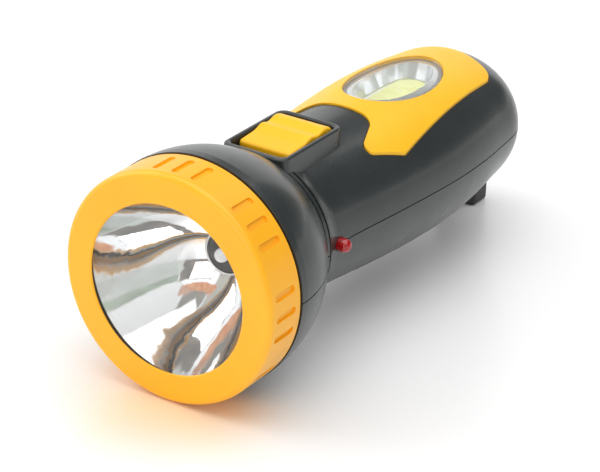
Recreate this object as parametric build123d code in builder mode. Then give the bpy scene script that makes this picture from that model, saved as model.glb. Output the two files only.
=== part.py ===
"""Rechargeable hand torch with a sliding switch and an oval side lamp.

The torch lies along Y with its lamp towards -Y and stands on its lamp bell and a foot under
the tail.  The origin is on the floor, under the middle of the torch.  Lengths along the torch
are stations, measured back from the front face of the lamp ring, and heights are measured
from the lamp axis.
"""

from build123d import *
import os
from functools import cache
from math import asin, cos, pi, sin, sqrt

os.makedirs("parts", exist_ok=True)

# ------------------------------------------------------------------ whole torch
overall_length = 207.0
bell_radius = 41.2
axis_height = bell_radius
wall = 2.4
running_gap = 0.2
seat_gap = 0.05

# ------------------------------------------------------------------ lamp ring, lens and seal
ring_rear = 18.2
ring_front_radius = 41.0
ring_rear_radius = 40.9
ring_corner_start = 39.0
ring_face_drop = 0.25
ring_corner_length = 2.4
ring_corner_bulge = 0.6
ring_lip_width = 0.9
ring_lip_depth = 0.5
ring_lip_bulge = 0.2
ring_lip_rear_radius = 31.3
ring_rear_chamfer = 0.6
opening_radius = 30.0
lens_seat = 1.6
lens_radius = 35.4
lens_thickness = 2.0
lens_play = 0.1
seal_inner_radius = 34.1
seal_thickness = 1.2
flange_thickness = 1.4
ring_bore_gap = 0.4
grip_sets = 8
grooves_per_set = 3
groove_pitch_deg = 10.5
groove_length = 11.0
groove_width = 2.5
groove_depth = 0.9
groove_centre = 9.3

lens_front = lens_seat + lens_play
lens_back = lens_front + lens_thickness
seal_back = lens_back + seal_thickness
collar_front = seal_back + flange_thickness
ring_step = collar_front - 0.5

# ------------------------------------------------------------------ reflector and lamp
mouth_radius = 33.0
reflector_wall = 1.3
focal_length = 8.6
lamp_hole_radius = 7.5
neck_length = 4.0
holder_depth = 0.4
led_radius = 2.5
led_flange_radius = 2.95
led_flange_thickness = 1.1
led_length = 9.0
lamp_board_radius = 12.0
board_thickness = 1.6
lamp_screw_offset = 9.2
lamp_boss_radius = 2.4
small_screw_radius = 1.0
small_head_radius = 1.9
small_head_height = 1.4

hole_station = seal_back + (mouth_radius**2 - lamp_hole_radius**2) / (4 * focal_length)
lamp_board_front = hole_station + neck_length

# ------------------------------------------------------------------ bell, neck and grip
collar_radius = 37.6
collar_bore = 34.2
bell_front = ring_rear + 0.4
bell_band = 3.0
bell_end = 50.6
bell_end_radius = 30.4
bell_bulge = 2.3
neck_ring_radius = 29.6
neck_groove_radius = 28.1
neck_groove = 1.5
neck_ring = 1.5
throat_end = 62.5
throat_edge_radius = 29.1
throat_radius = 27.2
throat_hollow = 0.5
bell_inside_step = 0.9
seam_width = 0.4
seam_depth = 0.6
tail_end = 206.0
dome_length = 32.0
dome_sections = 4

section_pitch = 12.5
# Sections of the grip at an even pitch: half width, crown above and belly below the lamp axis.
grip_profile = (
    (throat_radius, throat_radius, throat_radius),
    (28.1, 27.4, 27.9),
    (29.5, 27.8, 29.1),
    (30.9, 28.3, 30.3),
    (32.1, 28.8, 31.2),
    (33.1, 29.2, 31.8),
    (33.7, 29.4, 32.0),
    (33.6, 29.2, 31.4),
    (32.9, 28.5, 29.9),
    (31.6, 27.3, 27.8),
)
shoulder = throat_end + section_pitch * (len(grip_profile) - 1)

# ------------------------------------------------------------------ switch frame and knob
frame_half_width = 13.0
frame_front = 48.8
frame_rear = 86.8
frame_top = 31.9
frame_rim = 2.0
frame_corner = 4.0
frame_rim_round = 0.8
frame_root = 18.0
pocket_floor = 27.3
pocket_front_wall = 2.7
knob_half_width = 10.4
knob_length = 26.3
knob_rear_gap = 1.7
knob_side_round = 0.8
switch_travel = 4.5
# Top of the knob: distance from its front face, and height against the frame's rim.
knob_wave = ((1.4, -0.75), (6.0, -0.5), (10.0, 0.0), (13.6, 0.95), (16.8, 0.2), (21.6, 1.15), (25.2, 0.35))
knob_front_round = 1.4
knob_rear_drop = 1.0
stem_half_width = 2.5
stem_length = 7.0
stem_setback = 14.5
stem_hook_reach = 1.6
stem_hook_height = 1.2
lever_half_width = 1.1
lever_length = 3.0
lever_rise = 4.0

knob_rear = frame_rear - frame_rim - knob_rear_gap
knob_front = knob_rear - knob_length
knob_underside = pocket_floor + running_gap
stem_front = knob_front + stem_setback
stem_rear = stem_front + stem_length
stem_mid = (stem_front + stem_rear) / 2

# ------------------------------------------------------------------ trim panel and side lamp
trim_depth = 1.0
trim_proud = 0.6
trim_gap = 0.25
# Right half of the panel's outline: half width, station and corner radius.
trim_outline = (
    (12.0, 107.5, 7.0),
    (17.2, 93.0, 2.0),
    (20.2, 93.0, 2.0),
    (25.6, 108.0, 3.0),
    (19.9, 181.4, 7.0),
)
trim_apex = 186.2
trim_apex_radius = 40.0
side_lamp_mid = 141.7
side_lens_half_width = 15.0
side_lens_half_length = 26.0
side_lens_proud = 0.3
side_lens_ledge = 1.8
bowl_wall = 1.3
bowl_facets = 20
bowl_floor_half_width = 8.2
bowl_floor_half_length = 20.2
bowl_floor_height = 20.6
bowl_bend_height = 24.2
bowl_flange_reach = 3.0
bowl_flange_thickness = 1.2
strip_length = 38.0
strip_width = 13.0
strip_thickness = 0.7
cob_board_thickness = 1.2
cob_board_corner = 2.0

bowl_half_width = side_lens_half_width - side_lens_ledge - running_gap
bowl_half_length = side_lens_half_length - side_lens_ledge - running_gap

# ------------------------------------------------------------------ indicator LED
indicator_station = 63.5
indicator_reach = 4.5
indicator_hole_gap = 0.1

# ------------------------------------------------------------------ control board
board_half_width = 17.0
board_front = 58.0
board_rear = 102.0
board_under = 11.5
board_boss_radius = 3.0
board_screw_spots = ((-13.0, 61.5), (13.0, 98.5))
board_screw_length = 6.0
switch_body_length = 13.5
switch_body_width = 7.0
switch_body_height = 5.4
lead_radius = 0.3
lead_spacing = 2.54
dropper_size = (5.5, 12.0, 9.0)
dropper_spot = (6.0, 88.0)
can_radius = 3.0
can_height = 7.5
can_spot = (-10.0, 80.0)
diode_radius = 1.3
diode_length = 5.0
diode_count = 4
diode_pitch = 3.4
diode_spot = (-8.0, 90.0)
resistor_radius = 1.1
resistor_length = 6.0
resistor_count = 3
resistor_pitch = 4.0
resistor_spot = (-8.0, 74.0)

board_top = board_under + board_thickness
switch_mid = stem_mid - switch_travel / 2
switch_top = board_top + switch_body_height

# ------------------------------------------------------------------ battery and charging socket
battery_half_width = 17.0
battery_front = 96.0
battery_length = 60.0
battery_top = -2.5
battery_height = 17.5
battery_edge = 1.5
cradle_thickness = 2.0
cradle_count = 3
stop_height = 9.0
terminal_offset = 9.0
terminal_size = (4.8, 0.8, 6.0)
pad_half_width = 12.0
pad_length = 40.0
pad_thickness = 3.0
socket_half_width = 4.5
socket_half_height = 5.0
socket_front = 190.5
socket_shoulder = 203.0
socket_barrel_radius = 3.9
socket_bore_radius = 2.8
socket_bore_depth = 9.0
socket_pin_radius = 1.0

battery_rear = battery_front + battery_length
battery_bottom = battery_top - battery_height
pad_top = battery_top + pad_thickness

# ------------------------------------------------------------------ fasteners, foot and wires
shell_screw_offset = 17.0
shell_screw_stations = (88.0, 172.0)
shell_screw_spots = [(x, s) for s in shell_screw_stations for x in (-shell_screw_offset, shell_screw_offset)]
shell_screw_radius = 1.4
shell_screw_head_radius = 2.8
shell_screw_head_height = 2.0
shell_screw_seat = 9.0
shell_screw_bite = 8.0
boss_rib_thickness = 1.6
boss_board_gap = 1.2
lower_boss_radius = 4.4
upper_boss_radius = 3.6
counterbore_gap = 0.5
foot_half_width = 8.5
foot_front = 195.5
foot_round = 2.0
foot_edge_round = 0.8
foot_peg_radius = 2.5
foot_peg_station = 199.5
foot_peg_top = -12.5
wire_radius = 0.7
wire_bend = 2.5
lamp_wire_offset = 3.0
lamp_wire_height = 6.0
charge_wire_offset = 2.5
charge_wire_height = 2.0
side_wire_station = 126.0
side_wire_height = 16.0

# Room that cutting tools keep beyond the faces that they cut.
over = 1.0
beyond = 60.0


def y_at(station):
    """Y of a station."""
    return station - overall_length / 2


def at(x, station, height):
    """Point of the torch from its side offset, station and height above the lamp axis."""
    return (x, y_at(station), axis_height + height)


def cross_plane(station):
    """Plane square to the torch, with local x across it and local y upwards."""
    return Plane(origin=at(0, station, 0), x_dir=(1, 0, 0), z_dir=(0, -1, 0))


def plan_plane(height):
    """Level plane, with local x across the torch and local y along the stations."""
    return Plane(origin=at(0, 0, height), x_dir=(1, 0, 0), z_dir=(0, 0, 1))


# Upright plane through the lamp axis: local x is the station and local y the height.
side_plane = Plane(origin=at(0, 0, 0), x_dir=(0, 1, 0), z_dir=(1, 0, 0))
lamp_axis = Axis(at(0, 0, 0), (0, 1, 0))


def bulged(start, end, bulge):
    """Middle point of an arc from start to end that stands out to the left by bulge."""
    run = (end[0] - start[0], end[1] - start[1])
    span = sqrt(run[0] ** 2 + run[1] ** 2)
    return (
        (start[0] + end[0]) / 2 - bulge * run[1] / span,
        (start[1] + end[1]) / 2 + bulge * run[0] / span,
    )


def block(x_range, station_range, height_range):
    """Plain block between two side offsets, two stations and two heights."""
    with BuildPart() as form:
        with BuildSketch(plan_plane(height_range[0])):
            with Locations((sum(x_range) / 2, sum(station_range) / 2)):
                Rectangle(x_range[1] - x_range[0], station_range[1] - station_range[0])
        extrude(amount=height_range[1] - height_range[0])
    return form.part


def post(spot, radius, height_range):
    """Upright round post at a (side offset, station) spot."""
    with BuildPart() as form:
        with BuildSketch(plan_plane(height_range[0])):
            with Locations(spot):
                Circle(radius)
        extrude(amount=height_range[1] - height_range[0])
    return form.part


def barrel(radius, station_range, x=0.0, height=0.0):
    """Round bar along the torch between two stations."""
    with BuildPart() as form:
        with BuildSketch(cross_plane(station_range[1])):
            with Locations((x, height)):
                Circle(radius)
        extrude(amount=station_range[1] - station_range[0])
    return form.part


def tube(points, bend, radius):
    """Round wire along straight runs joined by tangent arcs."""
    with BuildPart() as form:
        with BuildLine() as path:
            FilletPolyline(*[at(*point) for point in points], radius=bend)
        with BuildSketch(Plane(origin=path.line @ 0, z_dir=path.line % 0)):
            Circle(radius)
        sweep()
    return form.part


def wire_pair(points, bend):
    """Two like wires, mirrored about the torch's middle plane."""
    with BuildPart() as pair:
        add(tube(points, bend, wire_radius))
        add(tube([(-x, station, height) for x, station, height in points], bend, wire_radius))
    return pair.part


def screw(spot, seat, head_radius, head_height, shank_radius, length):
    """Pan head screw that points upwards, with its head's upper face at the seat height."""
    with BuildPart() as form:
        add(post(spot, head_radius, (seat - head_height, seat)))
        add(post(spot, shank_radius, (seat, seat + length)))
    return form.part


def grip_sections(inset):
    """Stations and half axes of the grip's sections, drawn in by inset on every side."""
    sections = []
    for step, axes in enumerate(grip_profile):
        width, crown, belly = (axis - inset for axis in axes)
        sections.append((throat_end + section_pitch * step, width, crown, belly))
    length = dome_length - inset
    last_turn = asin((tail_end - inset - shoulder) / length)
    for step in range(1, dome_sections + 1):
        turn = last_turn * step / dome_sections
        shrink = cos(turn)
        sections.append((shoulder + length * sin(turn), width * shrink, crown * shrink, belly * shrink))
    return sections


@cache
def grip_half(side, inset):
    """Upper (side 1) or lower (side -1) half of the grip body with its domed tail."""
    with BuildPart() as form:
        for station, half_width, crown, belly in grip_sections(inset):
            height = crown if side > 0 else belly
            start = 0 if side > 0 else 180
            with BuildSketch(cross_plane(station)):
                with BuildLine():
                    EllipticalCenterArc((0, 0), half_width, height, start_angle=start, arc_size=180)
                    Line((-half_width, 0), (half_width, 0))
                make_face()
        loft()
    return form.part


def half_turn(side, profile):
    """Solid of an outline of (station, radius) points and arcs, turned through half a circle."""
    with BuildPart() as form:
        with BuildSketch(plan_plane(0)):
            with BuildLine():
                for run in profile:
                    points = [(radius, station) for station, radius in run]
                    if len(points) == 3:
                        ThreePointArc(*points)
                    else:
                        Polyline(*points)
            make_face()
        revolve(axis=lamp_axis, revolution_arc=-180 * side)
    return form.part


def save(builder, name):
    """Label a finished piece and write it."""
    builder.part.label = name
    export_step(builder.part, f"parts/{name}.step")


# ================================================================== lamp ring
with BuildPart() as bezel_ring:
    lip_corner = (ring_lip_depth, opening_radius)
    lip_front = (0, opening_radius + ring_lip_width)
    face_edge = (ring_face_drop, ring_corner_start)
    side_edge = (ring_corner_length, ring_front_radius)
    with BuildSketch(side_plane):
        with BuildLine():
            ThreePointArc(lip_corner, bulged(lip_corner, lip_front, ring_lip_bulge), lip_front)
            Line(lip_front, face_edge)
            ThreePointArc(face_edge, bulged(face_edge, side_edge, ring_corner_bulge), side_edge)
            Polyline(
                side_edge,
                (ring_rear - ring_rear_chamfer, ring_rear_radius),
                (ring_rear, ring_rear_radius - ring_rear_chamfer),
                (ring_rear, collar_radius + ring_bore_gap),
                (ring_step, collar_radius + ring_bore_gap),
                (ring_step, lens_radius + ring_bore_gap),
                (lens_seat, lens_radius + ring_bore_gap),
                (lens_seat, ring_lip_rear_radius),
                lip_corner,
            )
        make_face()
    revolve(axis=lamp_axis)
    groove_planes = []
    for grip_set in range(grip_sets):
        for groove in range(grooves_per_set):
            turn = 360 / grip_sets * grip_set + groove_pitch_deg * (groove - (grooves_per_set - 1) / 2)
            outward = (cos(turn * pi / 180), 0, sin(turn * pi / 180))
            reach = ring_front_radius + over
            seat = [middle + reach * out for middle, out in zip(at(0, groove_centre, 0), outward)]
            groove_planes.append(Plane(origin=tuple(seat), x_dir=(0, 1, 0), z_dir=outward))
    with BuildSketch(*groove_planes):
        SlotOverall(groove_length, groove_width)
    extrude(amount=-(over + groove_depth), mode=Mode.SUBTRACT)

# ================================================================== lens and seal
with BuildPart() as front_lens:
    with BuildSketch(side_plane):
        with Locations(((lens_front + lens_back) / 2, lens_radius / 2)):
            Rectangle(lens_thickness, lens_radius)
    revolve(axis=lamp_axis)
    chamfer(front_lens.edges().filter_by(GeomType.CIRCLE), 0.3)

with BuildPart() as lens_seal:
    with BuildSketch(side_plane):
        with Locations(((lens_back + seal_back) / 2, (seal_inner_radius + lens_radius) / 2)):
            Rectangle(seal_thickness, lens_radius - seal_inner_radius)
    revolve(axis=lamp_axis)

# ================================================================== reflector
def bowl_curve(front_station, growth):
    """Parabola of the reflector back to the lamp hole, let out by growth, as control points."""
    front_radius = sqrt(mouth_radius**2 - 4 * focal_length * (front_station - seal_back))
    knee_radius = (front_radius + lamp_hole_radius) / 2
    knee_station = (front_station + hole_station) / 2 + (front_radius - lamp_hole_radius) ** 2 / (
        8 * focal_length
    )
    return (
        (front_station, front_radius + growth),
        (knee_station, knee_radius + growth),
        (hole_station, lamp_hole_radius + growth),
    )


with BuildPart() as reflector:
    outer = bowl_curve(collar_front, reflector_wall)
    with BuildSketch(side_plane):
        with BuildLine():
            Polyline((seal_back, 0), (seal_back, lens_radius), (collar_front, lens_radius), outer[0])
            Bezier(*outer)
            Polyline(outer[2], (lamp_board_front, outer[2][1]), (lamp_board_front, 0), (seal_back, 0))
        make_face()
    revolve(axis=lamp_axis)
    for side in (-1, 1):
        boss_front = hole_station - neck_length
        add(barrel(lamp_boss_radius, (boss_front, lamp_board_front), x=side * lamp_screw_offset))
    inner = bowl_curve(seal_back, 0)
    with BuildSketch(side_plane):
        with BuildLine():
            Polyline((seal_back - over, 0), (seal_back - over, mouth_radius), inner[0])
            Bezier(*inner)
            Polyline(
                inner[2],
                (lamp_board_front + over, lamp_hole_radius),
                (lamp_board_front + over, 0),
                (seal_back - over, 0),
            )
        make_face()
    revolve(axis=lamp_axis, mode=Mode.SUBTRACT)
    for side in (-1, 1):
        hole = (lamp_board_front - neck_length, lamp_board_front + over)
        add(
            barrel(small_screw_radius + seat_gap, hole, x=side * lamp_screw_offset),
            mode=Mode.SUBTRACT,
        )

# ================================================================== lamp LED, holder and board
holder_front = hole_station + holder_depth
with BuildPart() as led_holder:
    add(barrel(lamp_hole_radius - running_gap, (holder_front, lamp_board_front)))
    add(barrel(led_radius + running_gap / 2, (holder_front - over, lamp_board_front)), mode=Mode.SUBTRACT)
    pocket = (lamp_board_front - led_flange_thickness - seat_gap, lamp_board_front)
    add(barrel(led_flange_radius + running_gap / 2, pocket), mode=Mode.SUBTRACT)


def led_form(flange_radius, flange_thickness, length):
    """Profile half of a round-nosed LED: a flange, a straight body and a dome."""
    with BuildSketch() as profile:
        with BuildLine():
            Polyline((0, 0), (0, flange_radius), (flange_thickness, flange_radius))
            Line((flange_thickness, flange_radius), (flange_thickness, led_radius))
            Line((flange_thickness, led_radius), (length - led_radius, led_radius))
            CenterArc((length - led_radius, 0), led_radius, 0, 90)
            Line((length, 0), (0, 0))
        make_face()
    return profile.sketch


with BuildPart() as lamp_led:
    led_axis_plane = Plane(origin=at(0, lamp_board_front, 0), x_dir=(0, -1, 0), z_dir=(1, 0, 0))
    with BuildSketch(led_axis_plane):
        add(led_form(led_flange_radius, led_flange_thickness, led_length))
    revolve(axis=lamp_axis)

with BuildPart() as lamp_board:
    add(barrel(lamp_board_radius, (lamp_board_front, lamp_board_front + board_thickness)))
    for side in (-1, 1):
        hole = (lamp_board_front - over, lamp_board_front + board_thickness + over)
        add(
            barrel(small_screw_radius + running_gap, hole, x=side * lamp_screw_offset),
            mode=Mode.SUBTRACT,
        )

with BuildPart() as lamp_board_screws:
    board_back = lamp_board_front + board_thickness
    for side in (-1, 1):
        offset_x = side * lamp_screw_offset
        add(barrel(small_head_radius, (board_back, board_back + small_head_height), x=offset_x))
        shank = (lamp_board_front - neck_length + over, board_back)
        add(barrel(small_screw_radius, shank, x=offset_x))

# ================================================================== body halves
groove_end = bell_end + neck_groove
ring_end = groove_end + neck_ring
throat_start = ring_end + neck_groove
band_end = bell_front + bell_band

neck_bore = throat_radius - wall


def outside_half(side, inset):
    """Half of the torch body with no room in it, drawn in by inset: collar, bell, neck and grip."""
    bell_start = (band_end, bell_radius - inset)
    bell_stop = (bell_end, bell_end_radius - inset)
    throat_top = (throat_start, throat_edge_radius - inset)
    throat_bottom = (throat_end, throat_radius - inset)
    groove_radius = neck_groove_radius - inset
    ring_radius = neck_ring_radius - inset
    front = [
        (collar_front, 0),
        (collar_front, collar_radius - inset),
        (bell_front, collar_radius - inset),
        (bell_front, bell_radius - inset),
        bell_start,
    ]
    neck = [
        bell_stop,
        (bell_end, groove_radius),
        (groove_end, groove_radius),
        (groove_end, ring_radius),
        (ring_end, ring_radius),
        (ring_end, groove_radius),
        (throat_start, groove_radius),
        throat_top,
    ]
    bell = (bell_start, bulged(bell_start, bell_stop, bell_bulge), bell_stop)
    throat = (throat_top, bulged(throat_top, throat_bottom, -throat_hollow), throat_bottom)
    back = [throat_bottom, (throat_end, 0), (ring_end, 0), (collar_front, 0)]
    with BuildPart() as form:
        add(half_turn(side, (front, bell, neck, throat, back)))
        add(grip_half(side, inset))
    return form.part


def inside_half(side):
    """Half of the room inside the torch body."""
    bell_start = (band_end, bell_radius - wall)
    bell_stop = (bell_end, neck_groove_radius - wall + bell_inside_step)
    front = [
        (collar_front - over, 0),
        (collar_front - over, collar_bore),
        (band_end, collar_bore),
        bell_start,
    ]
    bell = (bell_start, bulged(bell_start, bell_stop, bell_bulge), bell_stop)
    back = [bell_stop, (throat_start, neck_bore), (throat_end, neck_bore), (throat_end, 0), front[0]]
    with BuildPart() as form:
        add(half_turn(side, (front, bell, back)))
        add(grip_half(side, wall))
    return form.part


pocket_start = frame_front + pocket_front_wall
pocket_stop = frame_rear - frame_rim
with BuildPart() as switch_pocket:
    with BuildSketch(plan_plane(pocket_floor)):
        with Locations((0, (pocket_start + pocket_stop) / 2)):
            RectangleRounded(
                2 * (frame_half_width - frame_rim), pocket_stop - pocket_start, frame_corner - frame_rim
            )
    extrude(amount=beyond)

with BuildPart() as switch_frame:
    with BuildSketch(plan_plane(frame_root)):
        with Locations((0, (frame_front + frame_rear) / 2)):
            RectangleRounded(2 * frame_half_width, frame_rear - frame_front, frame_corner)
    extrude(amount=frame_top - frame_root)
    add(switch_pocket.part, mode=Mode.SUBTRACT)
    fillet(switch_frame.edges().group_by(Axis.Z)[-1], frame_rim_round)

# ================================================================== cuts that cross the parting plane
indicator_flange_x = sqrt((throat_radius - wall) ** 2 - led_flange_radius**2) - seat_gap
with BuildPart() as parting_cuts:
    hole_plane = Plane(
        origin=at(indicator_flange_x - over, indicator_station, 0), x_dir=(0, 1, 0), z_dir=(1, 0, 0)
    )
    with BuildSketch(hole_plane):
        Circle(led_radius + indicator_hole_gap)
    extrude(amount=wall + 2 * over)
    add(barrel(socket_barrel_radius + indicator_hole_gap, (socket_shoulder, tail_end + over)))

# ================================================================== trim panel outline
def trim_prism(gap):
    """Upright prism on the trim panel's outline, let out by gap."""
    right = [(x, station) for x, station, _ in trim_outline]
    radii = [radius for _, _, radius in trim_outline]
    left = [(-x, station) for x, station in reversed(right)]
    with BuildPart() as form:
        with BuildSketch(plan_plane(0)):
            with BuildLine():
                FilletPolyline(
                    *right,
                    (0, trim_apex),
                    *left,
                    radius=[*radii, trim_apex_radius, *reversed(radii)],
                    close=True,
                )
            make_face()
            if gap:
                offset(amount=gap)
        extrude(amount=beyond)
    return form.part


def oval_prism(half_width, half_length, height_range):
    """Upright prism on an oval about the side lamp's middle."""
    with BuildPart() as form:
        with BuildSketch(plan_plane(height_range[0])):
            with Locations((0, side_lamp_mid)):
                Ellipse(half_width, half_length)
        extrude(amount=height_range[1] - height_range[0])
    return form.part


# ================================================================== upper shell
with BuildPart() as upper_posts:
    for spot in shell_screw_spots:
        under_board = spot[1] < board_rear
        boss_top = board_under - boss_board_gap if under_board else beyond
        add(post(spot, upper_boss_radius, (0, boss_top)))
        if under_board:
            rib = (spot[1] - boss_rib_thickness / 2, spot[1] + boss_rib_thickness / 2)
            reach = sorted((spot[0], beyond * spot[0] / abs(spot[0])))
            add(block(reach, rib, (0, boss_top)))
    for spot in board_screw_spots:
        add(post(spot, board_boss_radius, (board_top, beyond)))
    add(grip_half(1, wall / 2), mode=Mode.INTERSECT)

with BuildPart() as neck_posts:
    for spot in board_screw_spots:
        if spot[1] < throat_end + board_boss_radius:
            add(post(spot, board_boss_radius, (board_top, neck_bore)))
    add(barrel(neck_bore + wall / 2, (throat_start, throat_end + 2 * board_boss_radius)), mode=Mode.INTERSECT)

with BuildPart() as seam_groove:
    add(block((-beyond, beyond), (0, overall_length), (0, seam_width)))
    add(outside_half(1, seam_depth), mode=Mode.SUBTRACT)

with BuildPart() as trim_recess:
    add(trim_prism(trim_gap))
    add(grip_half(1, trim_depth), mode=Mode.SUBTRACT)

with BuildPart() as upper_shell:
    add(outside_half(1, 0))
    add(switch_pocket.part, mode=Mode.SUBTRACT)
    add(switch_frame.part)
    add(inside_half(1), mode=Mode.SUBTRACT)
    add(upper_posts.part)
    add(neck_posts.part)
    add(seam_groove.part, mode=Mode.SUBTRACT)
    add(trim_recess.part, mode=Mode.SUBTRACT)
    side_hole = (bowl_half_width + running_gap, bowl_half_length + running_gap)
    add(oval_prism(*side_hole, (0, beyond)), mode=Mode.SUBTRACT)
    slot = (stem_front - switch_travel - 2 * running_gap, stem_rear + 2 * running_gap)
    slot_half_width = stem_half_width + 2 * running_gap
    add(block((-slot_half_width, slot_half_width), slot, (switch_top, beyond)), mode=Mode.SUBTRACT)
    for spot in shell_screw_spots:
        bite = (-over, shell_screw_bite + over)
        add(post(spot, shell_screw_radius + seat_gap, bite), mode=Mode.SUBTRACT)
    for spot in board_screw_spots:
        bite = (board_top - over, board_top + board_screw_length)
        add(post(spot, small_screw_radius + seat_gap, bite), mode=Mode.SUBTRACT)
    add(parting_cuts.part, mode=Mode.SUBTRACT)

# ================================================================== lower shell
with BuildPart() as lower_ribs:
    for spot in shell_screw_spots:
        add(post(spot, lower_boss_radius, (-beyond, 0)))
    for rib in range(cradle_count):
        rib_mid = battery_front + battery_length * (rib + 0.5) / cradle_count
        span = (rib_mid - cradle_thickness / 2, rib_mid + cradle_thickness / 2)
        add(block((-beyond, beyond), span, (-beyond, battery_bottom)))
    for face, outward in ((battery_front - running_gap, -1), (battery_rear + running_gap, 1)):
        span = sorted((face, face + outward * cradle_thickness))
        reach = battery_half_width
        add(block((-reach, reach), span, (-beyond, battery_bottom + stop_height)))
    add(grip_half(-1, wall / 2), mode=Mode.INTERSECT)

with BuildPart() as lower_shell:
    add(outside_half(-1, 0))
    add(inside_half(-1), mode=Mode.SUBTRACT)
    add(lower_ribs.part)
    for spot in shell_screw_spots:
        add(post(spot, shell_screw_radius + running_gap, (-beyond, over)), mode=Mode.SUBTRACT)
        head_bore = shell_screw_head_radius + counterbore_gap
        add(post(spot, head_bore, (-beyond, -shell_screw_seat)), mode=Mode.SUBTRACT)
    peg_spot = (0, foot_peg_station)
    add(post(peg_spot, foot_peg_radius + seat_gap, (-beyond, foot_peg_top)), mode=Mode.SUBTRACT)
    add(parting_cuts.part, mode=Mode.SUBTRACT)

# ================================================================== foot under the tail
with BuildPart() as tail_foot:
    with BuildSketch(plan_plane(-axis_height)):
        with Locations((0, (foot_front + overall_length) / 2)):
            RectangleRounded(2 * foot_half_width, overall_length - foot_front, foot_round)
    extrude(amount=axis_height)
    chamfer(tail_foot.edges().group_by(Axis.Z)[0], foot_edge_round)
    add(grip_half(-1, -seat_gap), mode=Mode.SUBTRACT)
    add(post(peg_spot, foot_peg_radius, (-axis_height / 2, foot_peg_top)))

# ================================================================== shell screws
with BuildPart() as shell_screws:
    for spot in shell_screw_spots:
        length = shell_screw_seat + shell_screw_bite
        head = (shell_screw_head_radius, shell_screw_head_height)
        add(screw(spot, -shell_screw_seat, *head, shell_screw_radius, length))

# ================================================================== sliding knob and its lever
with BuildPart() as switch_knob:
    top = [(knob_front + run, frame_top + rise) for run, rise in knob_wave]
    front_edge = (knob_front, top[0][1] - knob_front_round)
    with BuildSketch(side_plane):
        with BuildLine():
            Line((knob_front, knob_underside), front_edge)
            TangentArc(front_edge, top[0], tangent=(0, 1))
            Spline(*top, tangents=((1, 0.05), (1, -0.4)))
            Polyline(
                top[-1],
                (knob_rear, top[-1][1] - knob_rear_drop),
                (knob_rear, knob_underside),
                (knob_front, knob_underside),
            )
        make_face()
    extrude(amount=knob_half_width, both=True)
    side_edges = switch_knob.edges().filter_by(Axis.X, reverse=True)
    raised = (axis_height + pocket_floor + over, axis_height + beyond)
    fillet(side_edges.filter_by_position(Axis.Z, *raised), knob_side_round)
    hook_top = throat_radius - wall - 2 * running_gap
    stem = (stem_front, stem_rear)
    stem_heights = (switch_top + 2 * running_gap, knob_underside + over)
    add(block((-stem_half_width, stem_half_width), stem, stem_heights))
    hook_reach = stem_half_width + stem_hook_reach
    hook_heights = (hook_top - stem_hook_height - 2 * running_gap, hook_top - 2 * running_gap)
    add(block((-hook_reach, hook_reach), stem, hook_heights))
    lever_gap = running_gap
    lever_span = (stem_mid - lever_length / 2 - lever_gap, stem_mid + lever_length / 2 + lever_gap)
    lever_reach = lever_half_width + lever_gap
    lever_room = (switch_top, switch_top + lever_rise + lever_gap)
    add(block((-lever_reach, lever_reach), lever_span, lever_room), mode=Mode.SUBTRACT)

with BuildPart() as switch_lever:
    lever = (stem_mid - lever_length / 2, stem_mid + lever_length / 2)
    add(block((-lever_half_width, lever_half_width), lever, (switch_top - over, switch_top + lever_rise)))

with BuildPart() as slide_switch:
    body = (switch_mid - switch_body_length / 2, switch_mid + switch_body_length / 2)
    add(block((-switch_body_width / 2, switch_body_width / 2), body, (board_top, switch_top)))
    slot = (lever[0] - switch_travel - running_gap, lever[1] + running_gap)
    slot_reach = lever_half_width + running_gap
    slot_depth = (switch_top - over - running_gap, switch_top + over)
    add(block((-slot_reach, slot_reach), slot, slot_depth), mode=Mode.SUBTRACT)

# ================================================================== control board and its parts
with BuildPart() as control_board:
    add(block((-board_half_width, board_half_width), (board_front, board_rear), (board_under, board_top)))
    for spot in board_screw_spots:
        hole = (board_under - over, board_top + over)
        add(post(spot, small_screw_radius + running_gap, hole), mode=Mode.SUBTRACT)

with BuildPart() as board_screws:
    for spot in board_screw_spots:
        length = board_thickness + board_screw_length - over
        add(screw(spot, board_under, small_head_radius, small_head_height, small_screw_radius, length))

with BuildPart() as dropper_capacitor:
    width, length, height = dropper_size
    x, station = dropper_spot
    footprint = ((x - width / 2, x + width / 2), (station - length / 2, station + length / 2))
    add(block(*footprint, (board_top, board_top + height)))
    fillet(dropper_capacitor.edges().filter_by(Axis.Z), 0.6)

with BuildPart() as filter_capacitor:
    add(post(can_spot, can_radius, (board_top, board_top + can_height)))
    fillet(filter_capacitor.edges().group_by(Axis.Z)[-1], 0.4)


def row_of_rods(count, pitch, spot, radius, length, height):
    """Short round bars side by side, lying across the torch."""
    with BuildPart() as form:
        for step in range(count):
            station = spot[1] + pitch * (step - (count - 1) / 2)
            start = Plane(origin=at(spot[0] - length / 2, station, height), z_dir=(1, 0, 0))
            with BuildSketch(start):
                Circle(radius)
            extrude(amount=length)
    return form.part


with BuildPart() as rectifier_diodes:
    diode_height = board_top + diode_radius
    add(row_of_rods(diode_count, diode_pitch, diode_spot, diode_radius, diode_length, diode_height))

with BuildPart() as resistors:
    resistor_height = board_under - resistor_radius
    add(
        row_of_rods(
            resistor_count, resistor_pitch, resistor_spot, resistor_radius, resistor_length, resistor_height
        )
    )

# ================================================================== indicator LED
with BuildPart() as indicator_led:
    led_thickness = board_thickness / 2
    led_base = indicator_flange_x - led_thickness
    led_plane = Plane(origin=at(led_base, indicator_station, 0), x_dir=(1, 0, 0), z_dir=(0, -1, 0))
    full_length = led_thickness + indicator_reach + led_radius
    with BuildSketch(led_plane):
        add(led_form(led_flange_radius, led_thickness, full_length))
    revolve(axis=Axis(at(led_base, indicator_station, 0), (1, 0, 0)))

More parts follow.
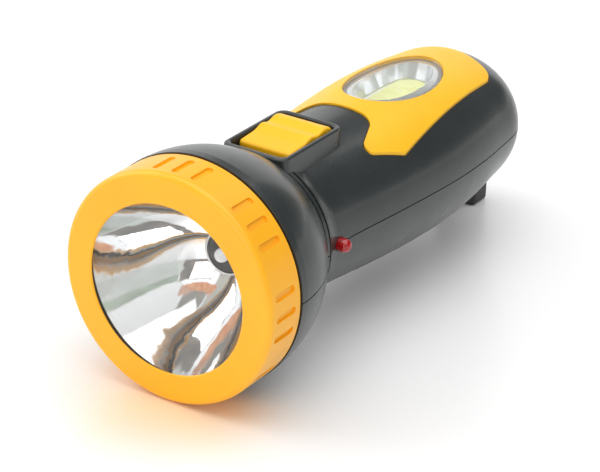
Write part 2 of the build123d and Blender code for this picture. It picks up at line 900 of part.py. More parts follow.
with BuildPart() as indicator_leads:
    for side in (-1, 1):
        station = indicator_station + side * lead_spacing / 2
        turn_x = board_half_width - 2 * over
        run = [(led_base, station, 0), (turn_x, station, 0), (turn_x, station, board_under)]
        add(tube(run, wire_bend, lead_radius))

# ================================================================== trim panel, side lens and side lamp
with BuildPart() as trim_panel:
    add(trim_prism(0))
    add(grip_half(1, -trim_proud), mode=Mode.INTERSECT)
    add(grip_half(1, trim_depth - seat_gap), mode=Mode.SUBTRACT)
    add(oval_prism(side_lens_half_width, side_lens_half_length, (0, beyond)), mode=Mode.SUBTRACT)

with BuildPart() as side_lens:
    lens_axes = (side_lens_half_width - running_gap, side_lens_half_length - running_gap)
    add(oval_prism(*lens_axes, (0, beyond)))
    add(grip_half(1, -side_lens_proud), mode=Mode.INTERSECT)
    add(grip_half(1, trim_depth - seat_gap), mode=Mode.SUBTRACT)


def oval_corners(half_width, half_length, squareness):
    """Corners of a many-sided oval about the side lamp's middle."""
    corners = []
    for step in range(bowl_facets):
        turn = 2 * pi * (step + 0.5) / bowl_facets
        across, along = cos(turn), sin(turn)
        x = half_width * abs(across) ** squareness * (1 if across > 0 else -1)
        run = half_length * abs(along) ** squareness * (1 if along > 0 else -1)
        corners.append((x, side_lamp_mid + run))
    return corners


def faceted_funnel(floor_axes, floor_height, rim_axes, rim_height):
    """Many-sided funnel from a squarish floor oval up to a true oval at the rim."""
    with BuildPart() as form:
        for axes, height, squareness in ((floor_axes, floor_height, 0.75), (rim_axes, rim_height, 1.0)):
            with BuildSketch(plan_plane(height)):
                with BuildLine():
                    Polyline(*oval_corners(*axes, squareness), close=True)
                make_face()
        loft(ruled=True)
    return form.part


crown_height = max(crown for _, crown, _ in grip_profile)
with BuildPart() as side_reflector:
    floor_axes = (bowl_floor_half_width, bowl_floor_half_length)
    rim_axes = (bowl_half_width - bowl_wall, bowl_half_length - bowl_wall)
    outer_floor = tuple(axis + bowl_wall for axis in floor_axes)
    add(oval_prism(bowl_half_width, bowl_half_length, (bowl_bend_height, beyond)))
    add(faceted_funnel(outer_floor, bowl_floor_height, (bowl_half_width, bowl_half_length), bowl_bend_height))
    add(grip_half(1, trim_depth + seat_gap), mode=Mode.INTERSECT)
    flange_axes = (bowl_half_width + bowl_flange_reach, bowl_half_length + bowl_flange_reach)
    with BuildPart() as bowl_flange:
        add(oval_prism(*flange_axes, (bowl_floor_height, beyond)))
        add(grip_half(1, wall + seat_gap), mode=Mode.INTERSECT)
        add(grip_half(1, wall + bowl_flange_thickness), mode=Mode.SUBTRACT)
    add(bowl_flange.part)
    add(
        faceted_funnel(floor_axes, bowl_floor_height - seat_gap, rim_axes, crown_height),
        mode=Mode.SUBTRACT,
    )

with BuildPart() as cob_board:
    with BuildSketch(plan_plane(bowl_floor_height - cob_board_thickness)):
        with Locations((0, side_lamp_mid)):
            RectangleRounded(2 * outer_floor[0], 2 * outer_floor[1], cob_board_corner)
    extrude(amount=cob_board_thickness)

with BuildPart() as cob_phosphor:
    with BuildSketch(plan_plane(bowl_floor_height)):
        with Locations((0, side_lamp_mid)):
            SlotOverall(strip_length, strip_width, rotation=90)
    extrude(amount=strip_thickness)

# ================================================================== battery
with BuildPart() as battery:
    width = (-battery_half_width, battery_half_width)
    add(block(width, (battery_front, battery_rear), (battery_bottom, battery_top)))
    fillet(battery.edges().filter_by(Axis.Z), battery_edge)

with BuildPart() as battery_terminals:
    tab_width, tab_thickness, tab_height = terminal_size
    tab_mid = battery_front + 2 * battery_edge + over
    for side in (-1, 1):
        tab_x = side * terminal_offset
        tab = (tab_x - tab_width / 2, tab_x + tab_width / 2)
        tab_span = (tab_mid - tab_thickness / 2, tab_mid + tab_thickness / 2)
        add(block(tab, tab_span, (battery_top, battery_top + tab_height)))

with BuildPart() as battery_pad:
    pad_mid = (battery_front + battery_rear) / 2
    pad_span = (pad_mid - pad_length / 2, pad_mid + pad_length / 2)
    add(block((-pad_half_width, pad_half_width), pad_span, (battery_top, pad_top)))

# ================================================================== charging socket
with BuildPart() as charge_socket:
    sides = (-socket_half_width, socket_half_width)
    add(block(sides, (socket_front, socket_shoulder), (-socket_half_height, socket_half_height)))
    add(barrel(socket_barrel_radius, (socket_shoulder, tail_end)))
    bore = (tail_end - socket_bore_depth, tail_end + over)
    add(barrel(socket_bore_radius, bore), mode=Mode.SUBTRACT)
    add(barrel(socket_pin_radius, (bore[0] - over, tail_end - over)))

# ================================================================== wires
lamp_back = lamp_board_front + board_thickness
lamp_wire_start = board_front + over
side_wire_end = board_rear - 3 * over
tab_top = battery_top + tab_height
tab_turn = (tab_top + board_under) / 2

with BuildPart() as lamp_wires:
    run = [
        (lamp_wire_offset, lamp_wire_start, board_under),
        (lamp_wire_offset, lamp_wire_start, lamp_wire_height),
        (lamp_wire_offset, lamp_back, lamp_wire_height),
    ]
    add(wire_pair(run, wire_bend))

with BuildPart() as side_lamp_wires:
    run = [
        (lamp_wire_offset, side_wire_station, bowl_floor_height - cob_board_thickness),
        (lamp_wire_offset, side_wire_station, side_wire_height),
        (lamp_wire_offset, side_wire_end, side_wire_height),
        (lamp_wire_offset, side_wire_end, board_top),
    ]
    add(wire_pair(run, wire_bend / 2))

with BuildPart() as battery_wires:
    turn_station = tab_mid - 3 * wire_bend
    run = [
        (terminal_offset, tab_mid, tab_top),
        (terminal_offset, tab_mid, tab_turn),
        (terminal_offset, turn_station, tab_turn),
        (terminal_offset, turn_station, board_under),
    ]
    add(wire_pair(run, wire_bend / 2))

with BuildPart() as charge_wires:
    run = [
        (charge_wire_offset, socket_front, charge_wire_height),
        (charge_wire_offset, side_wire_end, charge_wire_height),
        (charge_wire_offset, side_wire_end, board_under),
    ]
    add(wire_pair(run, wire_bend))

# ================================================================== files
for piece, name in (
    (bezel_ring, "bezel_ring"),
    (front_lens, "front_lens"),
    (lens_seal, "lens_seal"),
    (reflector, "reflector"),
    (led_holder, "led_holder"),
    (lamp_led, "lamp_led"),
    (lamp_board, "lamp_board"),
    (lamp_board_screws, "lamp_board_screws"),
    (upper_shell, "upper_shell"),
    (lower_shell, "lower_shell"),
    (tail_foot, "tail_foot"),
    (shell_screws, "shell_screws"),
    (switch_knob, "switch_knob"),
    (switch_lever, "switch_lever"),
    (slide_switch, "slide_switch"),
    (control_board, "control_board"),
    (board_screws, "board_screws"),
    (dropper_capacitor, "dropper_capacitor"),
    (filter_capacitor, "filter_capacitor"),
    (rectifier_diodes, "rectifier_diodes"),
    (resistors, "resistors"),
    (indicator_led, "indicator_led"),
    (indicator_leads, "indicator_leads"),
    (trim_panel, "trim_panel"),
    (side_lens, "side_lens"),
    (side_reflector, "side_reflector"),
    (cob_board, "cob_board"),
    (cob_phosphor, "cob_phosphor"),
    (battery, "battery"),
    (battery_terminals, "battery_terminals"),
    (battery_pad, "battery_pad"),
    (charge_socket, "charge_socket"),
    (lamp_wires, "lamp_wires"),
    (side_lamp_wires, "side_lamp_wires"),
    (battery_wires, "battery_wires"),
    (charge_wires, "charge_wires"),
):
    save(piece, name)
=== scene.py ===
"""Looks of the rechargeable hand torch: finishes, lens, lights, floor and camera."""

import math

import bmesh
import bpy
from mathutils import Matrix, Vector


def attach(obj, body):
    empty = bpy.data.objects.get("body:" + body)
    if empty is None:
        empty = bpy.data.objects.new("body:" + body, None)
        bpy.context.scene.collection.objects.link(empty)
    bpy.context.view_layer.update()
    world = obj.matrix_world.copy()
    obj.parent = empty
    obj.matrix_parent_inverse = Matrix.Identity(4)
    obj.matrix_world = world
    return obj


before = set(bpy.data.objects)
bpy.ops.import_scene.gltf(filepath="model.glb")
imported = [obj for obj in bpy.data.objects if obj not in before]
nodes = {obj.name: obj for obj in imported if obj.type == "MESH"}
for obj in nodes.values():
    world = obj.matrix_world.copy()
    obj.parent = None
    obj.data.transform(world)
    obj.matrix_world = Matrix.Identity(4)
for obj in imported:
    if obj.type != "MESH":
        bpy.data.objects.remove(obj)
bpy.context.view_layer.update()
scene = bpy.context.scene


# ------------------------------------------------------------------ camera
AZIMUTH = math.radians(31.88)
ELEVATION = math.radians(25.86)
ROLL = math.radians(2.16)
CAMERA_PLACE = Vector((0.4017, -0.6678, 0.3979))
LENS_MM = 144.0
SENSOR_MM = 36.0


def make_camera():
    """Camera at the photograph's viewing angle."""
    back = Vector(
        (
            math.sin(AZIMUTH) * math.cos(ELEVATION),
            -math.cos(AZIMUTH) * math.cos(ELEVATION),
            math.sin(ELEVATION),
        )
    )
    right = Vector((math.cos(AZIMUTH), math.sin(AZIMUTH), 0))
    up = back.cross(right)
    right_rolled = right * math.cos(ROLL) + up * math.sin(ROLL)
    up_rolled = up * math.cos(ROLL) - right * math.sin(ROLL)
    turn = Matrix((right_rolled, up_rolled, back)).transposed().to_4x4()
    data = bpy.data.cameras.new("camera")
    data.sensor_fit = "HORIZONTAL"
    data.sensor_width = SENSOR_MM
    data.lens = LENS_MM
    data.clip_start = 0.01
    data.clip_end = 50.0
    camera = bpy.data.objects.new("camera", data)
    scene.collection.objects.link(camera)
    camera.matrix_world = Matrix.Translation(CAMERA_PLACE) @ turn
    scene.camera = camera


# ------------------------------------------------------------------ materials
def srgb(r, g, b):
    """Linear colour of an 8-bit screen colour."""
    out = []
    for value in (r, g, b):
        c = value / 255
        out.append(c / 12.92 if c <= 0.04045 else ((c + 0.055) / 1.055) ** 2.4)
    return (*out, 1.0)


EDGE_RADIUS = 0.0003
EDGE_SAMPLES = 6
# Noise scales, per metre.
MOTTLE_SCALE = 38.0
SMUDGE_SCALE = 60.0
SINK_SCALE = 22.0
HAZE_SCALE = 45.0
TONE_SCALE = 25.0
DUST_SCALE = 180.0
LENS_ROUGH_SCALE = 90.0
LENS_TINT_SCALE = 30.0
TRACK_SCALE = 160.0
CLOUD_SCALE = 260.0
CELL_SCALE = 900.0
# Bump heights, in metres.
SINK_HEIGHT = 0.00012
TRACK_HEIGHT = 0.00003
CLOUD_HEIGHT = 0.00006
CELL_HEIGHT = 0.0004
# How dark the darker tone of a bright metal is.
METAL_DARKER = 0.93
# Share of its gloss that the dust on a lens adds, and how the gloss grows at a slant.
DUST_SHARE = 0.03
SLANT_BLEND = 0.25


class Nodes:
    """Short hand for building a material's node tree."""

    def __init__(self, name):
        self.material = bpy.data.materials.new(name)
        self.material.use_nodes = True
        self.tree = self.material.node_tree
        self.shader = self.tree.nodes["Principled BSDF"]
        coords = self.tree.nodes.new("ShaderNodeTexCoord")
        self.place = coords.outputs["Object"]

    def new(self, kind, **values):
        node = self.tree.nodes.new(kind)
        for key, value in values.items():
            if hasattr(node, key):
                setattr(node, key, value)
            else:
                node.inputs[key].default_value = value
        return node

    def link(self, source, target):
        self.tree.links.new(source, target)

    def noise(self, scale, detail=3.0, roughness=0.5):
        texture = self.new("ShaderNodeTexNoise")
        texture.inputs["Scale"].default_value = scale
        texture.inputs["Detail"].default_value = detail
        texture.inputs["Roughness"].default_value = roughness
        self.link(self.place, texture.inputs["Vector"])
        return texture.outputs["Fac"]

    def remap(self, value, low, high, start=0.3, stop=0.7):
        node = self.new("ShaderNodeMapRange")
        node.inputs["From Min"].default_value = start
        node.inputs["From Max"].default_value = stop
        node.inputs["To Min"].default_value = low
        node.inputs["To Max"].default_value = high
        self.link(value, node.inputs["Value"])
        return node.outputs["Result"]

    def blend(self, value, first, second):
        node = self.new("ShaderNodeMix", data_type="RGBA")
        self.link(value, node.inputs[0])
        node.inputs[6].default_value = first
        node.inputs[7].default_value = second
        return node.outputs[2]

    def bump(self, value, distance, strength=1.0, under=None):
        node = self.new("ShaderNodeBump")
        node.inputs["Strength"].default_value = strength
        node.inputs["Distance"].default_value = distance
        self.link(value, node.inputs["Height"])
        if under is not None:
            self.link(under, node.inputs["Normal"])
        return node.outputs["Normal"]

    def soft_edges(self):
        node = self.new("ShaderNodeBevel")
        node.samples = EDGE_SAMPLES
        node.inputs["Radius"].default_value = EDGE_RADIUS
        return node.outputs["Normal"]

    def set(self, **values):
        for key, value in values.items():
            self.shader.inputs[key.replace("_", " ")].default_value = value


def moulded(name, light, dark, rough, grain=0.00002, grain_scale=900.0, **extra):
    """Injection moulded plastic: a faint flow mottle, a fine skin and softened edges."""
    m = Nodes(name)
    mottle = m.noise(MOTTLE_SCALE, 4.0, 0.6)
    m.link(m.blend(m.remap(mottle, 0.0, 1.0), dark, light), m.shader.inputs["Base Color"])
    smudge = m.noise(SMUDGE_SCALE, 5.0, 0.62)
    m.link(m.remap(smudge, rough[0], rough[1]), m.shader.inputs["Roughness"])
    skin = m.bump(m.noise(grain_scale, 2.0, 0.5), grain, under=m.soft_edges())
    sink = m.bump(m.noise(SINK_SCALE, 1.0, 0.4), SINK_HEIGHT, strength=0.35, under=skin)
    m.link(sink, m.shader.inputs["Normal"])
    m.set(**extra)
    return m.material


def bright_metal(name, colour, rough, wave=0.00003, wave_scale=70.0):
    """Vacuum metallised or plated surface with slight ripples."""
    m = Nodes(name)
    haze = m.noise(HAZE_SCALE, 4.0, 0.6)
    m.link(m.remap(haze, rough[0], rough[1]), m.shader.inputs["Roughness"])
    darker = tuple(c * METAL_DARKER for c in colour[:3]) + (1.0,)
    tone = m.blend(m.remap(m.noise(TONE_SCALE), 0.0, 1.0), darker, colour)
    m.link(tone, m.shader.inputs["Base Color"])
    m.link(m.bump(m.noise(wave_scale, 2.0, 0.4), wave), m.shader.inputs["Normal"])
    m.set(Metallic=1.0)
    return m.material


def clear_plastic(name, tint, low_alpha, high_alpha, rough):
    """Clear lens: nearly nothing face on, more of its gloss at a slant."""
    m = Nodes(name)
    slant = m.new("ShaderNodeLayerWeight")
    slant.inputs["Blend"].default_value = SLANT_BLEND
    veil = m.remap(slant.outputs["Fresnel"], low_alpha, high_alpha, 0.0, 1.0)
    dust = m.remap(m.noise(DUST_SCALE, 5.0, 0.65), 0.0, DUST_SHARE, 0.45, 0.75)
    total = m.new("ShaderNodeMath", operation="ADD")
    m.link(veil, total.inputs[0])
    m.link(dust, total.inputs[1])
    m.link(total.outputs[0], m.shader.inputs["Alpha"])
    m.link(m.remap(m.noise(LENS_ROUGH_SCALE, 3.0), rough, rough * 1.8), m.shader.inputs["Roughness"])
    colour = m.blend(m.noise(LENS_TINT_SCALE), tint, srgb(255, 255, 255))
    m.link(colour, m.shader.inputs["Base Color"])
    return m.material


def painted_board(name, light, dark):
    """Solder mask with faint copper tracks under it."""
    m = Nodes(name)
    tracks = m.new("ShaderNodeTexBrick")
    tracks.inputs["Scale"].default_value = TRACK_SCALE
    m.link(m.place, tracks.inputs["Vector"])
    m.link(m.blend(tracks.outputs["Fac"], dark, light), m.shader.inputs["Base Color"])
    m.link(m.remap(m.noise(300.0), 0.25, 0.4), m.shader.inputs["Roughness"])
    m.link(m.bump(tracks.outputs["Fac"], TRACK_HEIGHT), m.shader.inputs["Normal"])
    return m.material


def phosphor_gel(name):
    """Cloudy yellow silicone over a strip of chips."""
    m = Nodes(name)
    cloud = m.noise(CLOUD_SCALE, 4.0, 0.6)
    colour = m.blend(m.remap(cloud, 0, 1), srgb(222, 226, 104), srgb(238, 240, 140))
    m.link(colour, m.shader.inputs["Base Color"])
    m.link(m.remap(m.noise(120.0), 0.3, 0.5), m.shader.inputs["Roughness"])
    m.link(m.bump(cloud, CLOUD_HEIGHT), m.shader.inputs["Normal"])
    m.set(Coat_Weight=0.4)
    return m.material


def foam(name):
    """Open cell foam, with painted shade: the cell hollows are painted darker than the cell walls."""
    m = Nodes(name)
    cells = m.new("ShaderNodeTexVoronoi")
    cells.inputs["Scale"].default_value = CELL_SCALE
    m.link(m.place, cells.inputs["Vector"])
    pore_depth_and_shade = cells.outputs["Distance"]
    # Painted shade: the deeper a point lies in its cell, the darker its colour.
    m.link(m.blend(pore_depth_and_shade, srgb(20, 20, 20), srgb(58, 58, 60)), m.shader.inputs["Base Color"])
    m.link(m.bump(pore_depth_and_shade, CELL_HEIGHT), m.shader.inputs["Normal"])
    m.set(Roughness=0.95)
    return m.material


def paint(node, material):
    """Gives a CAD node its finish."""
    for place in nodes[node].material_slots:
        place.material = material


yellow = moulded(
    "bezel_yellow", srgb(255, 184, 8), srgb(253, 176, 4), (0.34, 0.42), Coat_Weight=0.15, Coat_Roughness=0.2
)
yellow_grip = moulded(
    "trim_yellow", srgb(255, 196, 18), srgb(254, 188, 12), (0.36, 0.45), grain=0.00003, grain_scale=1300.0
)
dark_grey = moulded(
    "body_grey", srgb(50, 54, 54), srgb(44, 48, 48), (0.26, 0.34), Coat_Weight=0.2, Coat_Roughness=0.12
)
foot_grey = moulded("foot_grey", srgb(40, 42, 42), srgb(34, 36, 36), (0.42, 0.52))
black_part = moulded("black_part", srgb(14, 14, 15), srgb(9, 9, 10), (0.3, 0.4))
rubber = moulded("seal_rubber", srgb(22, 22, 22), srgb(14, 14, 14), (0.7, 0.85), grain=0.00006)
gasket_white = moulded(
    "gasket_white", srgb(244, 244, 242), srgb(236, 236, 234), (0.4, 0.55), grain=0.00004
)
chrome = bright_metal(
    "reflector_chrome", srgb(248, 249, 250), (0.02, 0.06), wave=0.00006, wave_scale=110.0
)
silver = bright_metal("bowl_silver", srgb(214, 217, 219), (0.10, 0.17), wave=0.00002)
rim_bright = bright_metal("rim_bright", srgb(250, 250, 250), (0.35, 0.45))
tinned = bright_metal("tinned", srgb(190, 190, 188), (0.3, 0.45))
steel = bright_metal("screw_steel", srgb(160, 161, 164), (0.3, 0.42))
front_clear = clear_plastic("front_clear", srgb(236, 244, 244), 0.02, 0.4, 0.03)
side_clear = clear_plastic("side_clear", srgb(214, 220, 222), 0.0, 0.3, 0.06)
led_body = moulded(
    "led_epoxy", srgb(244, 246, 246), srgb(232, 236, 238), (0.08, 0.14), Coat_Weight=0.6
)
led_red = moulded(
    "led_red", srgb(196, 10, 12), srgb(160, 4, 8), (0.08, 0.14), Coat_Weight=0.6, Subsurface_Weight=0.2
)
green_board = painted_board("board_green", srgb(30, 104, 54), srgb(22, 84, 42))
white_board = painted_board("board_white", srgb(238, 239, 238), srgb(226, 228, 226))
phosphor = phosphor_gel("cob_phosphor")
pad_foam = foam("pad_foam")
battery_case = moulded("battery_case", srgb(92, 94, 98), srgb(80, 82, 86), (0.45, 0.6))
dipped = moulded("dipped_case", srgb(150, 52, 30), srgb(128, 40, 22), (0.2, 0.35))
can_sleeve = moulded("can_sleeve", srgb(28, 34, 70), srgb(20, 26, 58), (0.25, 0.4))
lacquer = moulded("resistor_lacquer", srgb(206, 182, 140), srgb(190, 164, 120), (0.3, 0.5))
wire_red = moulded("wire_sleeve", srgb(186, 24, 22), srgb(160, 14, 14), (0.35, 0.5))

for group, finish in (
    (("bezel_ring",), yellow),
    (("trim_panel", "switch_knob"), yellow_grip),
    (("upper_shell", "lower_shell"), dark_grey),
    (("tail_foot",), foot_grey),
    (("led_holder", "switch_lever", "rectifier_diodes", "charge_socket"), black_part),
    (("lens_seal",), rubber),
    (("reflector",), chrome),
    (("side_reflector",), silver),
    (("slide_switch", "indicator_leads", "battery_terminals"), tinned),
    (("shell_screws", "board_screws", "lamp_board_screws"), steel),
    (("front_lens",), front_clear),
    (("side_lens",), side_clear),
    (("lamp_led",), led_body),
    (("indicator_led",), led_red),
    (("lamp_board", "control_board"), green_board),
    (("cob_board",), white_board),
    (("cob_phosphor",), phosphor),
    (("battery_pad",), pad_foam),
    (("battery",), battery_case),
    (("dropper_capacitor",), dipped),
    (("filter_capacitor",), can_sleeve),
    (("resistors",), lacquer),
    (("lamp_wires", "side_lamp_wires", "battery_wires", "charge_wires"), wire_red),
):
    for node in group:
        paint(node, finish)


# ------------------------------------------------------------------ small pieces the solids leave out
# The lamp axis above the floor, and the front face on it.
AXIS_HEIGHT = 0.0412
FRONT_Y = -0.1035


def ring_mesh(name, section, station, body, finish, steps=160):
    """Ring about the lamp axis from a closed section of (station, radius) points, in metres."""
    maker = bmesh.new()
    rounds = []
    for step in range(steps):
        turn = 2 * math.pi * step / steps
        rounds.append(
            [
                maker.verts.new(
                    (
                        radius * math.cos(turn),
                        FRONT_Y + station + along,
                        AXIS_HEIGHT + radius * math.sin(turn),
                    )
                )
                for along, radius in section
            ]
        )
    for step in range(steps):
        here, there = rounds[step], rounds[(step + 1) % steps]
        for corner in range(len(section)):
            after = (corner + 1) % len(section)
            maker.faces.new((here[corner], there[corner], there[after], here[after]))
    bmesh.ops.recalc_face_normals(maker, faces=maker.faces)
    mesh = bpy.data.meshes.new(name)
    maker.to_mesh(mesh)
    maker.free()
    for face in mesh.polygons:
        face.use_smooth = True
    ring = bpy.data.objects.new(name, mesh)
    scene.collection.objects.link(ring)
    mesh.materials.append(finish)
    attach(ring, body)
    return ring


def round_section(radius, middle, count=14):
    """Round section of a ring about its own middle radius."""
    points = []
    for step in range(count):
        turn = 2 * math.pi * step / count
        points.append((radius * math.sin(turn), middle + radius * math.cos(turn)))
    return points


# The lip's back face and the lamp hole, behind the front face.
LIP_BACK = 0.0016
HOLE_STATION = 0.03492
HOLE_RADIUS = 0.0075
RIM_FORWARD = 0.0003
RIM_OUTWARD = 0.00030
RIM_RADIUS = 0.00045
GASKET_INNER = 0.03140
GASKET_OUTER = 0.03560
GASKET_FRONT = 0.00002
GASKET_REAR = 0.00008
gasket = [
    (GASKET_FRONT, GASKET_INNER),
    (GASKET_FRONT, GASKET_OUTER),
    (GASKET_REAR, GASKET_OUTER),
    (GASKET_REAR, GASKET_INNER),
]
ring_mesh("lip_gasket", gasket, LIP_BACK, "bezel", gasket_white)
rim = round_section(RIM_RADIUS, HOLE_RADIUS + RIM_OUTWARD)
rim_place = HOLE_STATION - RIM_FORWARD
ring_mesh("lamp_hole_rim", rim, rim_place, "torch", rim_bright)


# ------------------------------------------------------------------ floor and lights
# Painted warm glow in the floor's colour under the yellow ring, standing in for the light the ring bounces
# onto the floor. It stays there when the ring moves.
PAINTED_GLOW_PLACE = (0.004, -0.108, 0.0)
PAINTED_GLOW_REACH = (0.004, 0.046)
PAINTED_GLOW_COLOUR = (1.0, 0.82, 0.60, 1)
FLOOR_HALF = 6.0


def make_floor():
    """Pale studio floor that keeps the torch's shadow, with a painted warm glow under the yellow ring."""
    mesh = bpy.data.meshes.new("floor")
    maker = bmesh.new()
    bmesh.ops.create_grid(maker, x_segments=8, y_segments=8, size=FLOOR_HALF)
    maker.to_mesh(mesh)
    maker.free()
    floor = bpy.data.objects.new("floor", mesh)
    scene.collection.objects.link(floor)
    m = Nodes("floor")
    away = m.new("ShaderNodeVectorMath", operation="DISTANCE")
    m.link(m.place, away.inputs[0])
    away.inputs[1].default_value = PAINTED_GLOW_PLACE
    painted_glow_mask = m.new("ShaderNodeMapRange", interpolation_type="SMOOTHSTEP")
    painted_glow_mask.inputs["From Min"].default_value, painted_glow_mask.inputs["From Max"].default_value = PAINTED_GLOW_REACH
    m.link(away.outputs["Value"], painted_glow_mask.inputs["Value"])
    white = m.blend(m.noise(3.0), srgb(254, 254, 254), srgb(252, 252, 252))
    # Painted glow: near the ring the floor's white is multiplied by the warm glow colour, standing in for
    # light the ring bounces onto the floor.
    tint = m.blend(painted_glow_mask.outputs["Result"], PAINTED_GLOW_COLOUR, (1, 1, 1, 1))
    both = m.new("ShaderNodeMix", data_type="RGBA", blend_type="MULTIPLY")
    both.inputs[0].default_value = 1.0
    m.link(white, both.inputs[6])
    m.link(tint, both.inputs[7])
    m.link(both.outputs[2], m.shader.inputs["Base Color"])
    m.set(Roughness=0.5, Coat_Weight=0.8, Coat_IOR=1.7, Coat_Roughness=0.3)
    mesh.materials.append(m.material)


def area_light(name, place, target, size, power):
    """Softbox at a place, turned to a target."""
    data = bpy.data.lights.new(name, "AREA")
    data.shape = "RECTANGLE"
    data.size, data.size_y = size
    data.energy = power
    light = bpy.data.objects.new(name, data)
    scene.collection.objects.link(light)
    aim = Vector(target) - Vector(place)
    turn = aim.to_track_quat("-Z", "Y").to_matrix().to_4x4()
    light.matrix_world = Matrix.Translation(Vector(place)) @ turn


# How far, in degrees, the edges of the room's patches wander.
EDGE_WANDER = 9.0
# Heights, in degrees, between which the mirrored room goes from its low to its overhead tone.
OVERHEAD = (35.0, 75.0)
LOW_TONE = (1.2, 1.2, 1.2, 1)
OVERHEAD_TONE = (0.95, 0.96, 0.97, 1)
SOFT_LIGHT = 0.55


class Room:
    """Studio round the torch, by compass bearing from -Y towards +X and by height, in degrees."""

    def __init__(self):
        self.world = bpy.data.worlds.new("room")
        scene.world = self.world
        self.world.use_nodes = True
        self.tree = self.world.node_tree
        self.tree.nodes.clear()
        place = self.tree.nodes.new("ShaderNodeTexCoord").outputs["Generated"]
        parts = self.tree.nodes.new("ShaderNodeSeparateXYZ")
        self.tree.links.new(place, parts.inputs[0])
        ahead = self.math("MULTIPLY", parts.outputs["Y"], -1.0)
        bearing = self.math("ARCTAN2", parts.outputs["X"], ahead)
        height = self.math("ARCSINE", parts.outputs["Z"])
        noise = self.tree.nodes.new("ShaderNodeTexNoise")
        noise.inputs["Scale"].default_value = 5.0
        noise.inputs["Detail"].default_value = 5.0
        self.tree.links.new(place, noise.inputs["Vector"])
        wander = self.math("MULTIPLY_ADD", noise.outputs["Fac"], EDGE_WANDER, -EDGE_WANDER / 2)
        self.bearing = self.math("ADD", self.math("MULTIPLY", bearing, 180 / math.pi), wander)
        self.aside = self.math("ABSOLUTE", self.bearing)
        self.height = self.math("ADD", self.math("MULTIPLY", height, 180 / math.pi), wander)
        self.colour = None

    def math(self, operation, first, *others):
        node = self.tree.nodes.new("ShaderNodeMath")
        node.operation = operation
        for socket, value in zip(node.inputs, (first, *others)):
            if hasattr(value, "links"):
                self.tree.links.new(value, socket)
            else:
                socket.default_value = value
        return node.outputs[0]

    def between(self, value, low, high, soft):
        """1 between low and high, falling smoothly to 0 over soft beyond them."""
        sides = []
        for start, stop in ((low - soft, low), (high + soft, high)):
            node = self.tree.nodes.new("ShaderNodeMapRange")
            node.interpolation_type = "SMOOTHSTEP"
            node.inputs["From Min"].default_value = start
            node.inputs["From Max"].default_value = stop
            self.tree.links.new(value, node.inputs["Value"])
            sides.append(node.outputs["Result"])
        return self.math("MULTIPLY", *sides)

    def patch(self, bearings, heights, first, second, soft, streaks):
        """Card or dark corner of the room, streaked from first to second colour."""
        turn = self.aside if bearings[1] >= 180 else self.bearing
        inside = self.math(
            "MULTIPLY", self.between(turn, *bearings, soft), self.between(self.height, *heights, soft)
        )
        mix_place = self.tree.nodes.new("ShaderNodeCombineXYZ")
        across = self.math("MULTIPLY", self.bearing, streaks[0] / 100)
        upward = self.math("MULTIPLY", self.height, streaks[1] / 100)
        self.tree.links.new(across, mix_place.inputs[0])
        self.tree.links.new(upward, mix_place.inputs[1])
        noise = self.tree.nodes.new("ShaderNodeTexNoise")
        noise.inputs["Scale"].default_value = 1.0
        noise.inputs["Detail"].default_value = 4.0
        self.tree.links.new(mix_place.outputs[0], noise.inputs["Vector"])
        tone = self.tree.nodes.new("ShaderNodeMapRange")
        tone.inputs["From Min"].default_value = 0.35
        tone.inputs["From Max"].default_value = 0.65
        self.tree.links.new(noise.outputs["Fac"], tone.inputs["Value"])
        paint_mix = self.mix(tone.outputs["Result"], first, second)
        self.colour = self.mix(inside, self.colour, paint_mix)

    def mix(self, factor, first, second):
        node = self.tree.nodes.new("ShaderNodeMix")
        node.data_type = "RGBA"
        self.tree.links.new(factor, node.inputs[0])
        for socket, value in ((node.inputs[6], first), (node.inputs[7], second)):
            if hasattr(value, "links"):
                self.tree.links.new(value, socket)
            else:
                socket.default_value = value
        return node.outputs[2]


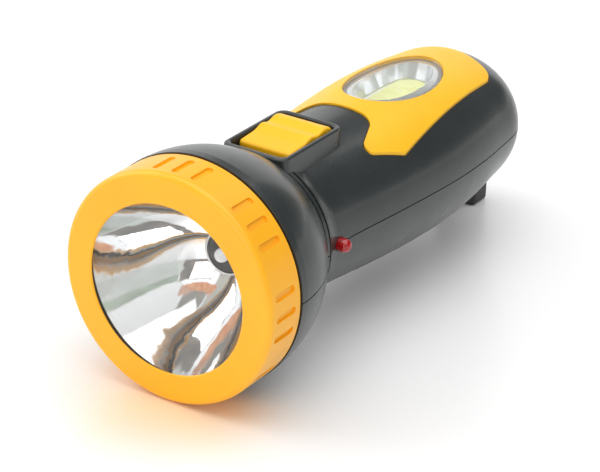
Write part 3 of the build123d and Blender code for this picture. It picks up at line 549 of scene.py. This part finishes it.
def make_world():
    """White behind the torch, an even soft light on it, and a studio for what it mirrors."""
    room = Room()
    tree = room.tree
    overhead = tree.nodes.new("ShaderNodeMapRange")
    overhead.inputs["From Min"].default_value = OVERHEAD[0]
    overhead.inputs["From Max"].default_value = OVERHEAD[1]
    tree.links.new(room.height, overhead.inputs["Value"])
    room.colour = room.mix(overhead.outputs["Result"], LOW_TONE, OVERHEAD_TONE)
    for bearings, heights, first, second, soft, streaks in ROOM_PATCHES:
        room.patch(bearings, heights, first, second, soft, streaks)
    output = tree.nodes.new("ShaderNodeOutputWorld")
    path = tree.nodes.new("ShaderNodeLightPath")
    soft_light = tree.nodes.new("ShaderNodeBackground")
    soft_light.inputs["Color"].default_value = (1, 1, 1, 1)
    soft_light.inputs["Strength"].default_value = SOFT_LIGHT
    mirrored = tree.nodes.new("ShaderNodeBackground")
    tree.links.new(room.colour, mirrored.inputs["Color"])
    back = tree.nodes.new("ShaderNodeBackground")
    back.inputs["Color"].default_value = (1, 1, 1, 1)
    back.inputs["Strength"].default_value = 1.0
    last = soft_light.outputs[0]
    seen_by = (
        ("Is Glossy Ray", mirrored),
        ("Is Transmission Ray", back),
        ("Is Camera Ray", back),
    )
    for ray, light in seen_by:
        mix = tree.nodes.new("ShaderNodeMixShader")
        tree.links.new(path.outputs[ray], mix.inputs["Fac"])
        tree.links.new(last, mix.inputs[1])
        tree.links.new(light.outputs[0], mix.inputs[2])
        last = mix.outputs[0]
    tree.links.new(last, output.inputs["Surface"])


# Studio that the mirror shows: bearings, heights, two colours, softness and streaks across and up.
ROOM_PATCHES = (
    ((102, 200), (35, 66), srgb(88, 92, 92), srgb(70, 74, 74), 7.0, (3.0, 3.0)),
    ((98, 178), (7, 36), srgb(88, 92, 92), srgb(70, 74, 74), 6.0, (3.0, 3.0)),
    ((-60, -22), (14, 62), srgb(205, 202, 192), srgb(186, 184, 174), 4.0, (9.0, 9.0)),
    ((42, 88), (-5, 19), srgb(222, 226, 220), srgb(205, 212, 203), 5.0, (6.0, 6.0)),
    ((44, 95), (21, 28), srgb(176, 196, 166), srgb(126, 148, 118), 2.5, (12.0, 12.0)),
    ((-6, 40), (-8, 29), srgb(112, 112, 110), srgb(158, 146, 136), 2.5, (28.0, 3.0)),
    ((-24, 36), (37, 46), srgb(238, 176, 132), srgb(214, 142, 100), 2.5, (14.0, 14.0)),
    ((-14, 28), (48, 60), srgb(140, 130, 118), srgb(116, 110, 98), 2.5, (20.0, 10.0)),
)

make_camera()
make_floor()
make_world()
area_light("top_softbox", (0.1, 0.1, 1.3), (0, 0, 0), (1.6, 1.8), 13.6)
area_light("left_softbox", (-1.2, -0.5, 0.8), (0, 0, 0.04), (1.0, 1.0), 7.0)
area_light("front_fill", (0.3, -1.5, 0.5), (0, 0, 0.04), (0.9, 0.7), 5.0)

scene.view_settings.view_transform = "Standard"
